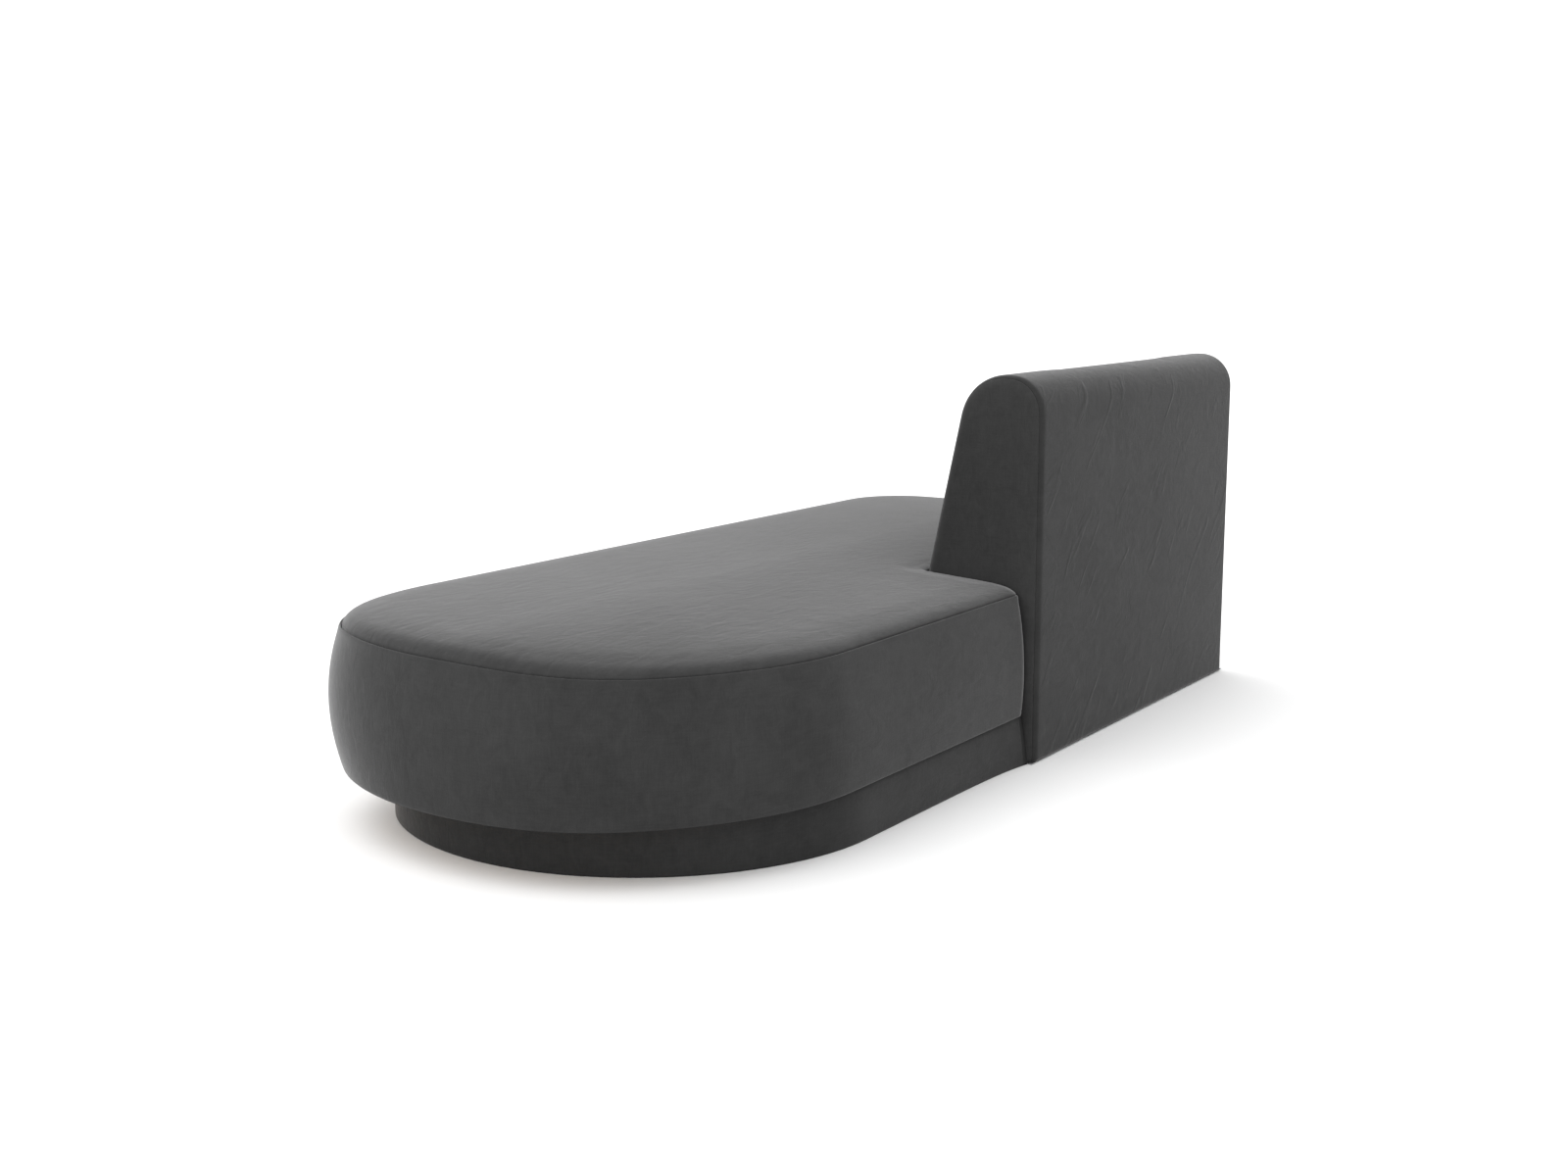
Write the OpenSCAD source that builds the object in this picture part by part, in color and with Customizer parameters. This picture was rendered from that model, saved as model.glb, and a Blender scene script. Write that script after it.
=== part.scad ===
// Low upholstered daybed: a long seat with one half-round end, a recessed plinth and a short backrest.
// The frame stands with +Z up, +Y towards the back and +X towards the round end, in millimetres.
// Its origin lies on the floor, at the middle of the length and of the depth.

/* [Overall] */
// Length from the flat end to the tip of the round end
bed_length = 2240; // [1900:10:2800]
// Depth from the front of the seat to the back of the backrest
bed_depth = 1000; // [900:10:1250]
// Height of the top of the backrest
back_height = 775; // [680:5:950]
// Height of the top of the seat
seat_height = 380; // [340:5:480]
// Height of the underside of the seat body
plinth_height = 100; // [70:5:140]

/* [Seat body] */
// Distance from the back of the backrest to the back side of the seat
seat_back_setback = 15; // [5:1:40]
// Plan radius of the front corner at the flat end
seat_corner_r = 200; // [120:5:300]
// Drop from the top of the seat to the seam around it
seam_drop = 35; // [25:1:50]
// How far the seam lies inside the fullest line of the side
seam_tuck = 18; // [8:1:30]
// How far the bottom edge lies inside the fullest line of the side
hem_tuck = 5; // [2:1:12]
// Width of the side cover folded under the base panel
hem_width = 40; // [25:1:60]
// Distance from the fullest line of the side to the timber frame
frame_inset = 40; // [34:1:60]
// Distance from the fullest line of the side to the edge of the base panel
panel_inset = 24; // [20:1:32]
// Thickness of the base panel
panel_t = 12; // [9:1:18]
// Thickness of the foam under the seat
seat_foam_t = 142; // [80:1:170]

/* [Plinth] */
// Inset of the plinth from the back side of the seat
plinth_back_inset = 13; // [5:1:60]
// Inset of the plinth from the front of the seat
plinth_front_inset = 40; // [10:1:90]
// Inset of the plinth from the flat end of the seat
plinth_end_inset = 32; // [10:1:90]
// Inset of the plinth from the tip of the round end
plinth_round_inset = 94; // [30:1:160]
// Thickness of the plinth boards
plinth_board_t = 20; // [16:1:25]
// Clear height under the plinth's cross boards
plinth_cross_lift = 15; // [5:1:30]

/* [Backrest] */
// Length of the backrest along the seat
back_length = 1075; // [860:5:1290]
// Depth of the backrest at the height of the seat
back_depth = 250; // [210:5:300]
// Lean of the backrest's front face
back_lean = 12.2; // [6:0.1:18]
// Radius from the front face to the top
crown_front_r = 100; // [85:1:110]
// Radius from the top to the rear face
crown_rear_r = 75; // [65:1:90]
// Plan radius of the rear corners
rear_corner_r = 30; // [24:1:40]
// Plan radius of the front corners
front_corner_r = 20; // [14:1:24]
// Thickness of foam and wadding over the backrest frame
back_padding_t = 58; // [45:1:65]
// Depth of the foam below the top of the seat
ledge_drop = 80; // [60:1:90]
// Thickness of the foam on each side of the backrest
side_pad_t = 12; // [8:1:20]
// Thickness of the rear board
rear_board_t = 4; // [3:1:6]
// Thickness of the shaped ribs
rib_t = 18; // [15:1:25]
// Distance from a side face to the seam of the side panel
side_seam_x = 8; // [4:1:14]

/* [Boards and covers] */
// Thickness of the frame rails
rail_t = 22; // [18:1:28]
// Thickness of the bent plywood walls
bend_t = 12; // [9:1:16]
// Leg length of the glued corner blocks
block_leg = 60; // [40:1:80]
// Height of the glued corner blocks
block_h = 50; // [30:1:55]
// Thickness of the velvet cover with its backing
cover_t = 2; // [1:0.5:3]
// Thickness of the polyester wadding
wadding_t = 8; // [4:1:12]
// Thickness of the dust cover
cambric_t = 1; // [0.5:0.5:2]

/* [Webbing] */
// Width of the elastic straps
strap_w = 60; // [50:5:80]
// Thickness of the elastic straps
strap_t = 2; // [1:0.5:3]
// Straps across the seat beside the backrest
straps_end = 8; // [5:1:9]
// Straps across the open part of the seat
straps_open = 8; // [5:1:9]
// Straps along the seat
straps_along = 7; // [5:1:8]
// Straps across the backrest
straps_back = 3; // [2:1:3]
// Width of a staple's crown
staple_w = 12; // [8:1:14]
// Thickness of a staple's crown
staple_t = 1.2; // [1:0.1:1.5]

/* [Fasteners and glides] */
// Radius of the bolts that hold the backrest
bolt_r = 4; // [3:0.5:5]
// Number of bolts that hold the backrest
bolts = 4; // [2:1:4]
// Radius of a wood screw
screw_r = 2.5; // [2:0.25:3]
// Length of a frame screw
screw_l = 60; // [45:5:70]
// Radius of a glide
glide_r = 10; // [8:1:12]
// Thickness of a glide
glide_t = 3; // [2:0.5:6]
// Length of a glide's nail
nail_l = 18; // [12:1:22]
// Gap between pieces that slide together
fit_gap = 1; // [0.5:0.5:3]

/* [Hidden] */
$fn = 96;
tiny = 0.01;
deep = 3000;

velvet = [0.24, 0.24, 0.25];
pine = [0.80, 0.66, 0.46];
plywood = [0.74, 0.58, 0.40];
hardboard = [0.42, 0.30, 0.20];
foam = [0.93, 0.90, 0.78];
wadding = [0.95, 0.95, 0.95];
elastic = [0.14, 0.14, 0.15];
cambric = [0.08, 0.08, 0.09];
steel = [0.70, 0.70, 0.72];
plastic = [0.05, 0.05, 0.05];

// The backrest's box
back_x0 = -bed_length / 2;
back_x1 = back_x0 + back_length;
rear_y = bed_depth / 2;
front_y = rear_y - back_depth;

// The notch in the seat and the plinth that the backrest stands in
notch_x = back_x1 + fit_gap;
notch_y = front_y - fit_gap;

// A plan holds the flat end, the tip, the front, the back and the radius of the front corner
seat_plan = [-bed_length / 2, bed_length / 2, -bed_depth / 2, bed_depth / 2 - seat_back_setback, seat_corner_r];
plinth_plan = [
    seat_plan[0] + plinth_end_inset,
    seat_plan[1] - plinth_round_inset,
    seat_plan[2] + plinth_front_inset,
    seat_plan[3] - plinth_back_inset,
    seat_corner_r - plinth_end_inset
];
function inset_plan(p, i) = [p[0] + i, p[1] - i, p[2] + i, p[3] - i, p[4] - i];
function round_r(p) = (p[3] - p[2]) / 2;
function round_x(p) = p[1] - round_r(p);
function mid_y(p) = (p[2] + p[3]) / 2;
frame_plan = inset_plan(seat_plan, frame_inset);
boards_plan = inset_plan(plinth_plan, cover_t);

// Levels of the seat body, from the floor up
boards_z = glide_t + cover_t;
panel_z = plinth_height + cover_t;
rail_z = panel_z + panel_t;
foam_z = seat_height - cover_t - wadding_t - seat_foam_t;
deck_z = foam_z - 2 * strap_t - 2 * staple_t;
seam_z = seat_height - seam_drop;
padding_i = cover_t + wadding_t;

// The side of the seat is one long arc, fullest below its middle
side_full_z = plinth_height + (seam_z - plinth_height) / (1 + sqrt(seam_tuck / hem_tuck));
side_arc_r = pow(side_full_z - plinth_height, 2) / (2 * hem_tuck) + hem_tuck / 2;

// Cross rails: left face of each, and whether it stops at the notch
cross_end_x = (frame_plan[0] + notch_x) / 2;
cross_open_x = (notch_x + round_x(boards_plan)) / 2;

// Backrest: centres of the crown's arcs, and levels of its frame
crown_z = back_height - crown_front_r;
crown_y = front_y + (crown_z - seat_height) * tan(back_lean) + crown_front_r / cos(back_lean);
rear_arc_y = rear_y - crown_rear_r;
rear_arc_z = back_height - crown_rear_r;
core_i = cover_t + back_padding_t;
core_y = front_y + cover_t;
core_rear_y = rear_y - padding_i - rear_board_t;
core_top_z = back_height - core_i;
ledge_z = seat_height - ledge_drop;
side_i = padding_i + side_pad_t;
web_gap = strap_t + 2 * staple_t;
joint_rail_h = deck_z - rail_z;
foot_rail_h = 55;
rear_rail_z = (boards_z + core_top_z) / 2;
rear_rail_h = 60;
top_rail_w = core_rear_y - crown_y;
rib_gap = 0.5;

// Bolts run along Y through the joint rail and the seat's notch rail
bolt_z = (rail_z + deck_z) / 2;
bolt_head_h = 5.5;
bolt_head_r = 1.6 * bolt_r;
washer_r = 2.2 * bolt_r;
washer_t = 1.6;
bolt_hole_r = bolt_r + 0.5;
nut_flange_t = 1.5;
nut_barrel_l = 10;
nut_barrel_r = bolt_r + 1.2;
bolt_over = 10;
thread_gap = 0.1;
function bolt_x(n) = back_x0 + back_length * (n + 0.5) / bolts;

// Screw heads sit flush
head_r = 2 * screw_r;
head_h = 3;

// ---- Shared shapes ----

// A box between two corners
module span(low, high) {
    translate(low) cube(high - low);
}

// A rectangle between two corners
module area(low, high) {
    translate(low) square(high - low);
}

// Sweeps a section along a straight side: outward along angle, for a length to its right
module straight_side(x, y, angle, length) {
    translate([x, y, 0])
        rotate([0, 0, angle])
            rotate([90, 0, 0])
                linear_extrude(length) children();
}

// The five stretches of a plan's outer wall, each from its own centre line outwards.
// A section is drawn with its outer edge at $reach from that line.
module front_stretch(p, x0, x1) {
    let ($reach = round_r(p)) straight_side(x1, mid_y(p), -90, x1 - x0) children();
}

module back_stretch(p, x0, x1) {
    let ($reach = round_r(p)) straight_side(x0, mid_y(p), 90, x1 - x0) children();
}

module end_stretch(p) {
    let ($reach = p[4]) straight_side(p[0] + p[4], p[2] + p[4], 180, notch_y - p[2] - p[4]) children();
}

module round_stretch(p) {
    let ($reach = round_r(p))
        translate([round_x(p), mid_y(p), 0])
            rotate([0, 0, -90])
                rotate_extrude(angle = 180) children();
}

module corner_stretch(p) {
    let ($reach = p[4])
        translate([p[0] + p[4], p[2] + p[4], 0])
            rotate([0, 0, 180])
                rotate_extrude(angle = 90) children();
}

module around(p) {
    round_stretch(p) children();
    back_stretch(p, notch_x, round_x(p)) children();
    front_stretch(p, p[0] + p[4], round_x(p)) children();
    corner_stretch(p) children();
    end_stretch(p) children();
}

// The plan's middle behind the front stretch, up to the notch
module middle(p, z0, z1) {
    span([p[0] + p[4], mid_y(p), z0], [notch_x, notch_y, z1]);
}

// A flat sheet of the whole plan
module plate(p, z0, z1) {
    around(p) area([0, z0], [$reach, z1]);
    middle(p, z0, z1);
}

// The seat's section from its centre line to the side arc and the rolled top edge, pulled in by i
module seat_section(i, z_low) {
    edge_x = $reach - seam_tuck - seam_drop;
    if (z_low < seam_z)
        intersection() {
            translate([$reach - side_arc_r, side_full_z]) circle(side_arc_r - i, $fn = 400);
            area([0, z_low], [$reach, seam_z]);
        }
    area([0, seam_z], [edge_x, seat_height - i]);
    intersection() {
        translate([edge_x, seam_z]) circle(seam_drop - i);
        area([edge_x, seam_z], [$reach, seat_height]);
    }
}

// A skin of the seat's section between two insets
module seat_skin(i_out, i_in, z_low) {
    difference() {
        seat_section(i_out, z_low);
        translate([-1, 0]) area([0, z_low - 1], [2, seat_height - i_in]);
        seat_section(i_in, z_low - 1);
    }
}

// A glued corner block with its right angle at the given corner
module corner_block(x, y, z, side) {
    translate([x, y, z])
        linear_extrude(block_h)
            polygon([[0, 0], [block_leg, 0], [0, side * block_leg]]);
}

// A wood screw with its head's top at the origin and its shank along +Z
module wood_screw(length) {
    cylinder(r = head_r, h = head_h);
    cylinder(r = screw_r, h = length);
}

// ---- Plinth ----

plinth_front_in = boards_plan[2] + plinth_board_t;
plinth_back_in = boards_plan[3] - plinth_board_t;
plinth_cross = [
    [cross_end_x, notch_y - plinth_board_t],
    [notch_x, plinth_back_in],
    [cross_open_x, plinth_back_in],
    [round_x(boards_plan) - plinth_board_t, plinth_back_in]
];
block_z = plinth_height - block_h;
block_mid = block_leg / 3;

// Places of the screws that hold the seat on the plinth, at the middles of the corner blocks
plinth_screw_places = [
    for (c = plinth_cross)
        for (s = [[plinth_front_in, 1], [c[1], -1]])
            [c[0] + plinth_board_t + block_mid, s[0] + s[1] * block_mid]
];

glide_mid = plinth_board_t / 2;
bend_mid_r = round_r(boards_plan) - max(bend_t / 2, glide_r - cover_t + 1);
plinth_glide_places = [
    for (x = [boards_plan[0] + boards_plan[4], notch_x, round_x(boards_plan) - 2 * glide_r])
        [x + glide_r, boards_plan[2] + glide_mid],
    for (x = [notch_x + plinth_board_t, round_x(boards_plan) - 2 * glide_r])
        [x + glide_r, boards_plan[3] - glide_mid],
    for (a = [-45, 45])
        [round_x(boards_plan) + bend_mid_r * cos(a), mid_y(boards_plan) + bend_mid_r * sin(a)],
    [boards_plan[0] + glide_mid, notch_y - plinth_board_t - 2 * glide_r]
];

module nails(places) {
    for (q = places)
        translate([q[0], q[1], glide_t - tiny])
            cylinder(r = screw_r / 2, h = nail_l);
}

module plinth_bores() {
    nails(plinth_glide_places);
}

module plinth_front_rail() {
    color(pine)
        difference() {
            span(
                [boards_plan[0] + boards_plan[4], boards_plan[2], boards_z],
                [round_x(boards_plan), plinth_front_in, plinth_height]
            );
            plinth_bores();
        }
}

module plinth_back_rail() {
    color(pine)
        difference() {
            span([notch_x, plinth_back_in, boards_z], [round_x(boards_plan), boards_plan[3], plinth_height]);
            plinth_bores();
        }
}

module plinth_end_rail() {
    color(pine)
        difference() {
            span(
                [boards_plan[0], boards_plan[2] + boards_plan[4], boards_z],
                [boards_plan[0] + plinth_board_t, notch_y, plinth_height]
            );
            plinth_bores();
        }
}

module plinth_notch_rail() {
    color(pine)
        span(
            [boards_plan[0] + plinth_board_t, notch_y - plinth_board_t, boards_z],
            [notch_x, notch_y, plinth_height]
        );
}

module plinth_round_wall() {
    color(plywood)
        difference() {
            round_stretch(boards_plan) area([$reach - bend_t, boards_z], [$reach, plinth_height]);
            plinth_bores();
        }
}

module plinth_corner_wall() {
    color(plywood)
        corner_stretch(boards_plan) area([$reach - bend_t, boards_z], [$reach, plinth_height]);
}

module plinth_cross_rails() {
    color(pine)
        for (c = plinth_cross)
            span(
                [c[0], plinth_front_in, boards_z + plinth_cross_lift],
                [c[0] + plinth_board_t, c[1], plinth_height]
            );
}

module plinth_corner_blocks() {
    color(pine)
        difference() {
            for (c = plinth_cross) {
                corner_block(c[0] + plinth_board_t, plinth_front_in, block_z, 1);
                corner_block(c[0] + plinth_board_t, c[1], block_z, -1);
            }
            plinth_screw_shanks();
        }
}

module plinth_screw_shanks() {
    for (q = plinth_screw_places)
        translate([q[0], q[1], block_z - tiny])
            cylinder(r = screw_r, h = screw_l);
}

module plinth_screws() {
    color(steel)
        for (q = plinth_screw_places)
            translate([q[0], q[1], block_z - head_h])
                wood_screw(screw_l + head_h);
}

module plinth_cover() {
    color(velvet)
        difference() {
            around(plinth_plan) {
                area([$reach - cover_t, glide_t], [$reach, plinth_height]);
                area([$reach - cover_t - plinth_board_t, glide_t], [$reach, boards_z]);
            }
            plinth_bores();
        }
}

module plinth_dust_cover() {
    color(cambric)
        difference() {
            plate(inset_plan(boards_plan, plinth_board_t), glide_t, glide_t + cambric_t);
            plinth_bores();
        }
}

module glide(q) {
    translate([q[0], q[1], 0]) {
        cylinder(r = glide_r, h = glide_t);
        cylinder(r = screw_r / 2, h = glide_t + nail_l);
    }
}

module plinth_glides() {
    color(plastic)
        for (q = plinth_glide_places) glide(q);
}

// ---- Seat frame ----

frame_front_in = frame_plan[2] + rail_t;
frame_back_in = frame_plan[3] - rail_t;
seat_cross = [
    [cross_end_x, notch_y - rail_t],
    [cross_open_x, frame_back_in],
    [round_x(frame_plan) - rail_t, frame_back_in]
];
web_clear = 25;

// Screws enter the rails from outside, into the ends of the cross rails
module frame_screw_row(y, angle, centres) {
    for (x = centres)
        translate([x, y, (rail_z + deck_z) / 2])
            rotate([angle, 0, 0])
                wood_screw(screw_l);
}

module frame_screw_shapes() {
    half = rail_t / 2;
    fronts = [for (c = seat_cross) c[0] + half, notch_x + half];
    backs = [seat_cross[1][0] + half, seat_cross[2][0] + half, notch_x + half];
    frame_screw_row(frame_plan[2], -90, fronts);
    frame_screw_row(frame_plan[3], 90, backs);
    frame_screw_row(notch_y, 90, [seat_cross[0][0] + half]);
}

module seat_base_panel() {
    color(plywood)
        difference() {
            plate(inset_plan(seat_plan, panel_inset), panel_z, rail_z);
            plinth_screw_shanks();
        }
}

module seat_front_rail() {
    color(pine)
        difference() {
            span(
                [frame_plan[0] + frame_plan[4], frame_plan[2], rail_z],
                [round_x(frame_plan), frame_front_in, deck_z]
            );
            frame_screw_shapes();
        }
}

module seat_back_rail() {
    color(pine)
        difference() {
            span([notch_x, frame_back_in, rail_z], [round_x(frame_plan), frame_plan[3], deck_z]);
            frame_screw_shapes();
        }
}

module seat_end_rail() {
    color(pine)
        span(
            [frame_plan[0], frame_plan[2] + frame_plan[4], rail_z],
            [frame_plan[0] + rail_t, notch_y, deck_z]
        );
}

module seat_notch_rail() {
    color(pine)
        difference() {
            span([frame_plan[0] + rail_t, notch_y - rail_t, rail_z], [notch_x, notch_y, deck_z]);
            frame_screw_shapes();
            bolt_bores();
        }
}

module seat_return_rail() {
    color(pine)
        difference() {
            span([notch_x, frame_front_in, rail_z], [notch_x + rail_t, frame_back_in, deck_z]);
            frame_screw_shapes();
        }
}

module seat_round_wall() {
    color(plywood)
        round_stretch(frame_plan) area([$reach - bend_t, rail_z], [$reach, deck_z]);
}

module seat_corner_wall() {
    color(plywood)
        corner_stretch(frame_plan) area([$reach - bend_t, rail_z], [$reach, deck_z]);
}

module seat_cross_rails() {
    color(pine)
        difference() {
            for (c = seat_cross)
                span([c[0], frame_front_in, rail_z], [c[0] + rail_t, c[1], deck_z - web_clear]);
            frame_screw_shapes();
        }
}

module seat_corner_blocks() {
    color(pine)
        for (c = seat_cross) {
            corner_block(c[0] + rail_t, frame_front_in, rail_z, 1);
            corner_block(c[0] + rail_t, c[1], rail_z, -1);
        }
}

module seat_frame_screws() {
    color(steel) frame_screw_shapes();
}

// ---- Seat webbing ----

strap_hold = 4;

// How far a strap's edge may run from the centre line of a round wall before it meets the wall
function chord(r, off) = sqrt(pow(r - strap_hold, 2) - pow(off, 2));

// Middles of straps spread evenly between two limits
function spread(low, high, count) = [for (n = [0 : count - 1]) low + (high - low) * (n + 0.5) / count];

across_x = concat(
    spread(frame_plan[0] + rail_t, notch_x, straps_end),
    spread(notch_x + rail_t, frame_plan[1] - rail_t - strap_w, straps_open)
);
along_y = spread(frame_front_in, frame_back_in, straps_along);

function across_front_y(x) =
    let (edge = x - strap_w / 2 - frame_plan[0] - frame_plan[4], round_edge = x + strap_w / 2 - round_x(frame_plan))
    edge < 0 ? frame_plan[2] + frame_plan[4] - chord(frame_plan[4], edge)
    : round_edge > 0 ? mid_y(frame_plan) - chord(round_r(frame_plan), round_edge)
    : frame_plan[2] + strap_hold;

function across_back_y(x) =
    let (round_edge = x + strap_w / 2 - round_x(frame_plan))
    x < notch_x ? notch_y - strap_hold
    : round_edge > 0 ? mid_y(frame_plan) + chord(round_r(frame_plan), round_edge)
    : frame_plan[3] - strap_hold;

function along_start_x(y) =
    let (edge = y - strap_w / 2 - frame_plan[2] - frame_plan[4])
    y + strap_w / 2 > notch_y - rail_t ? notch_x + strap_hold
    : edge < 0 ? frame_plan[0] + frame_plan[4] - chord(frame_plan[4], edge)
    : frame_plan[0] + strap_hold;

function along_tip_x(y) =
    round_x(frame_plan) + chord(round_r(frame_plan), abs(y - mid_y(frame_plan)) + strap_w / 2);

module seat_webbing_across() {
    color(elastic)
        for (x = across_x)
            span(
                [x - strap_w / 2, across_front_y(x), deck_z],
                [x + strap_w / 2, across_back_y(x), deck_z + strap_t]
            );
}

module seat_webbing_along() {
    color(elastic)
        for (y = along_y)
            span(
                [along_start_x(y), y - strap_w / 2, deck_z + strap_t],
                [along_tip_x(y), y + strap_w / 2, deck_z + 2 * strap_t]
            );
}

// Two staples side by side, centred on a strap's end and turned with it
module staple_pair(x, y, z, angle) {
    for (s = [-1, 1])
        translate([x, y, z])
            rotate([0, 0, angle])
                translate([s * strap_w / 4 - staple_w / 2, -staple_t / 2, 0])
                    cube([staple_w, staple_t, staple_t]);
}

module seat_webbing_staples() {
    top_z = deck_z + 2 * strap_t;
    inset = rail_t / 2;
    color(steel) {
        for (y = along_y) {
            staple_pair(along_start_x(y) + inset, y, top_z, 90);
            staple_pair(along_tip_x(y) - inset, y, top_z, 90);
        }
    }
}

// ---- Seat padding and cover ----

module seat_foam_round() {
    color(foam) {
        round_stretch(seat_plan) seat_section(padding_i, foam_z);
        back_stretch(seat_plan, notch_x, round_x(seat_plan)) seat_section(padding_i, foam_z);
        front_stretch(seat_plan, notch_x, round_x(seat_plan)) seat_section(padding_i, foam_z);
    }
}

module seat_foam_end() {
    color(foam) {
        front_stretch(seat_plan, seat_plan[0] + seat_corner_r, notch_x) seat_section(padding_i, foam_z);
        corner_stretch(seat_plan) seat_section(padding_i, foam_z);
        end_stretch(seat_plan) seat_section(padding_i, foam_z);
        middle(seat_plan, foam_z, seat_height - padding_i);
    }
}

// The strip of foam between the frame and the side cover
module boxing_section() {
    difference() {
        intersection() {
            seat_section(cover_t, panel_z);
            area([$reach - frame_inset, panel_z], [$reach, foam_z]);
        }
        area([0, panel_z], [$reach - panel_inset, rail_z]);
    }
}

module boxing_foam_front() {
    color(foam)
        front_stretch(seat_plan, seat_plan[0] + seat_corner_r, round_x(seat_plan)) boxing_section();
}

module boxing_foam_back() {
    color(foam)
        back_stretch(seat_plan, notch_x, round_x(seat_plan)) boxing_section();
}

module boxing_foam_end() {
    color(foam) end_stretch(seat_plan) boxing_section();
}

module boxing_foam_round() {
    color(foam) round_stretch(seat_plan) boxing_section();
}

module boxing_foam_corner() {
    color(foam) corner_stretch(seat_plan) boxing_section();
}

module seat_wadding() {
    color(wadding) {
        around(seat_plan) seat_skin(cover_t, padding_i, foam_z);
        middle(seat_plan, seat_height - padding_i, seat_height - cover_t);
    }
}

module seat_boxing() {
    color(velvet)
        around(seat_plan) {
            intersection() {
                seat_skin(0, cover_t, plinth_height);
                area([0, plinth_height], [$reach, seam_z]);
            }
            area([$reach - hem_tuck - hem_width, plinth_height], [$reach - hem_tuck, panel_z]);
        }
}

module seat_top_panel() {
    color(velvet) {
        around(seat_plan) seat_skin(0, cover_t, seam_z);
        middle(seat_plan, seat_height - cover_t, seat_height);
    }
}

// ---- Backrest shapes ----

// A section in Y and Z drawn out along X
module along_x(x0, x1) {
    translate([x0, 0, 0])
        rotate([90, 0, 90])
            linear_extrude(x1 - x0) children();
}

// Where the leaning front face meets the front arc of the crown, pulled in by i
function lean_top(i) = [
    crown_y - (crown_front_r - i) * cos(back_lean),
    crown_z + (crown_front_r - i) * sin(back_lean)
];
function lean_foot(i) = [front_y + i, seat_height - i * tan(back_lean / 2)];

// The backrest's whole shape between two places along X, pulled in by i
module back_prism(x0, x1, i, z_low) {
    along_x(x0, x1)
        polygon([
            [front_y + i, z_low],
            lean_foot(i),
            lean_top(i),
            [crown_y, back_height - i],
            [rear_arc_y, back_height - i],
            [rear_arc_y, rear_arc_z],
            [rear_y - i, rear_arc_z],
            [rear_y - i, z_low]
        ]);
    along_x(x0, x1)
        intersection() {
            translate([crown_y, crown_z]) circle(crown_front_r - i);
            area([front_y, crown_z], [crown_y, back_height]);
        }
    along_x(x0, x1)
        translate([rear_arc_y, rear_arc_z]) circle(crown_rear_r - i);
}

// The frame's shape: a full foot below the ledge, and a leaning face above it
module core_prism(x0, x1, i, z_low) {
    along_x(x0, x1)
        polygon([
            [core_y, z_low],
            [core_y, ledge_z],
            [front_y + i, ledge_z],
            lean_foot(i),
            lean_top(i),
            [crown_y, back_height - i],
            [core_rear_y, back_height - i],
            [core_rear_y, z_low]
        ]);
    along_x(x0, x1)
        translate([crown_y, crown_z]) circle(crown_front_r - i);
}

// The backrest's plan with its four rounded corners, pulled in by i
module back_plan(i) {
    rear_r = rear_corner_r - i;
    front_r = front_corner_r - i;
    area([back_x0 + i, front_y + i + front_r], [back_x1 - i, rear_y - i - rear_r]);
    area([back_x0 + i + rear_r, front_y + i], [back_x1 - i - rear_r, rear_y - i]);
    for (x = [back_x0 + rear_corner_r, back_x1 - rear_corner_r])
        translate([x, rear_y - rear_corner_r]) circle(rear_r);
    for (s = [[back_x0 + i, 1], [back_x1 - i, -1]]) {
        translate([s[0] + s[1] * front_r, front_y + front_corner_r]) circle(front_r);
        area(
            [min(s[0] + s[1] * front_r, s[0] + s[1] * rear_r), front_y + i],
            [max(s[0] + s[1] * front_r, s[0] + s[1] * rear_r), front_y + i + front_r]
        );
    }
}

module back_block(i, z_low) {
    intersection() {
        back_prism(back_x0, back_x1, i, z_low);
        translate([0, 0, z_low]) linear_extrude(back_height) back_plan(i);
    }
}

// ---- Backrest frame ----

near_rib_x = back_x1 - side_i - rib_t;
far_rib_x = back_x0 + side_i;
rail_x0 = far_rib_x + rib_t;
rail_x1 = near_rib_x;
back_glide_places = [
    for (x = [far_rib_x + rib_t / 2, near_rib_x + rib_t / 2])
        for (y = [core_y + 2 * glide_r, core_rear_y - 2 * glide_r])
            [x, y]
];

// The rails' sections, each as its low and high corner in Y and Z
top_rail = [[core_rear_y - top_rail_w, core_top_z - rail_t], [core_rear_y, core_top_z]];
ledge_rail = [[core_y, ledge_z - rail_t], [front_y + core_i, ledge_z]];
joint_rail = [[core_y, rail_z], [core_y + rail_t, rail_z + joint_rail_h]];
foot_front = [[core_y, boards_z], [core_y + rail_t, boards_z + foot_rail_h]];
foot_rear = [[core_rear_y - rail_t, boards_z], [core_rear_y, boards_z + foot_rail_h]];
rear_rail = [[core_rear_y - rail_t, rear_rail_z], [core_rear_y, rear_rail_z + rear_rail_h]];
back_rails = [top_rail, ledge_rail, joint_rail, foot_front, foot_rear, rear_rail];

module back_rail(r) {
    along_x(rail_x0, rail_x1) area(r[0], r[1]);
}

// Screws enter the rails' ends through the side ribs
module back_screw_shapes() {
    for (r = back_rails) {
        y = (r[0][0] + r[1][0]) / 2;
        z = (r[0][1] + r[1][1]) / 2;
        translate([near_rib_x + rib_t, y, z]) rotate([0, -90, 0]) wood_screw(screw_l);
        translate([far_rib_x, y, z]) rotate([0, 90, 0]) wood_screw(screw_l);
    }
}

module side_rib(x) {
    color(plywood)
        difference() {
            core_prism(x, x + rib_t, core_i, boards_z);
            back_screw_shapes();
            nails(back_glide_places);
        }
}

module back_near_rib() {
    side_rib(near_rib_x);
}

module back_far_rib() {
    side_rib(far_rib_x);
}

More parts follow.
